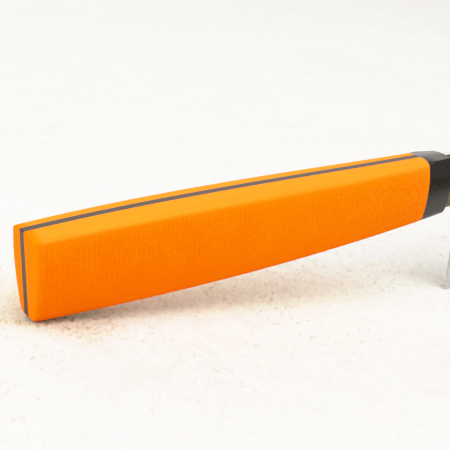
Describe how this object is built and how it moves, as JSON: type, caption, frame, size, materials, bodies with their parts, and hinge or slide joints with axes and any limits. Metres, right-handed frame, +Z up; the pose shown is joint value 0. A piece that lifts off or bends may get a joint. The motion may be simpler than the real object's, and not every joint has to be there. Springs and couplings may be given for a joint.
{
  "type": "kitchen knife",
  "caption": "Chef's knife with a frame handle: orange laminate scales on a thin black centre frame, a black bolster and a broad steel blade on a hidden tang.",
  "frame": {"origin": "on the table under the middle of the knife's length, in the plane of the blade", "axes": "+X from the butt towards the tip, +Z up towards the spine, Y across the thickness; the knife stands on the heel of its edge and the lower corner of its butt"},
  "size_m": [0.3574, 0.0168, 0.0699],
  "materials": {
    "blade_steel": "fine satin, ground lengthwise",
    "black_laminate": "black glass and resin laminate, finely sanded",
    "orange_laminate": "orange woven glass and resin laminate, sanded, with smoother bevels",
    "pin_steel": "plain turned rod, concealed"
  },
  "bodies": {
    "root": {"blade": "blade_steel", "centre_frame": "black_laminate", "scale_left": "orange_laminate", "scale_right": "orange_laminate", "bolster": "black_laminate", "tang_pins": "pin_steel", "frame_pins": "pin_steel", "bolster_dowels": "pin_steel"}
  },
  "joints": []
}
